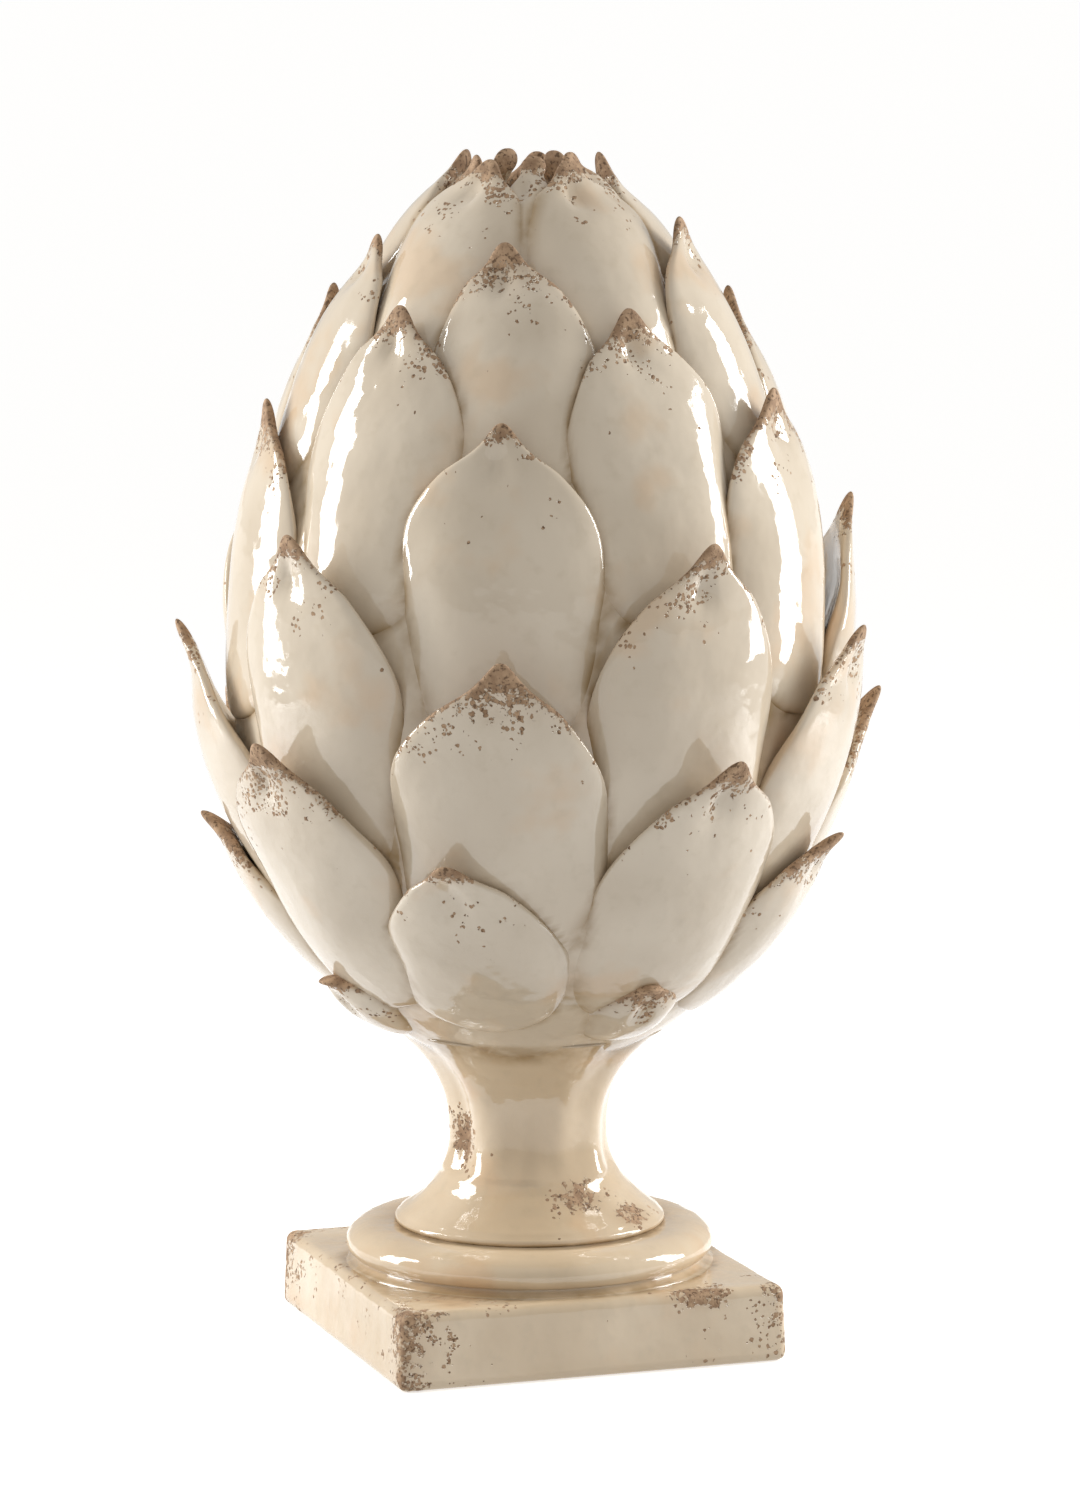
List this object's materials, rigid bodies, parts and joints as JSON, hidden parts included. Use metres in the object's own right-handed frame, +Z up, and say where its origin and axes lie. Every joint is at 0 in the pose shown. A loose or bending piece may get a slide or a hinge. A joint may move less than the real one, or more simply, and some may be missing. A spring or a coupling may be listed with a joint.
{
  "type": "glazed ceramic artichoke finial",
  "caption": "Garden ornament in the form of an artichoke: rings of pointed leaves round an egg-shaped body, on a flared stem, foot ring and square plinth.",
  "frame": {"origin": "middle of the plinth's underside, on the surface it stands on", "axes": "+Z up along the stem; the plinth's sides lie along X and Y, and its most chipped wide face looks along -Y"},
  "size_m": [0.3603, 0.3551, 0.6178],
  "materials": {
    "cream_glaze": "glossy cream glaze, chipped to bare brown clay at the leaf tips and edges"
  },
  "bodies": {
    "root": {"artichoke_finial": "cream_glaze"}
  },
  "joints": []
}
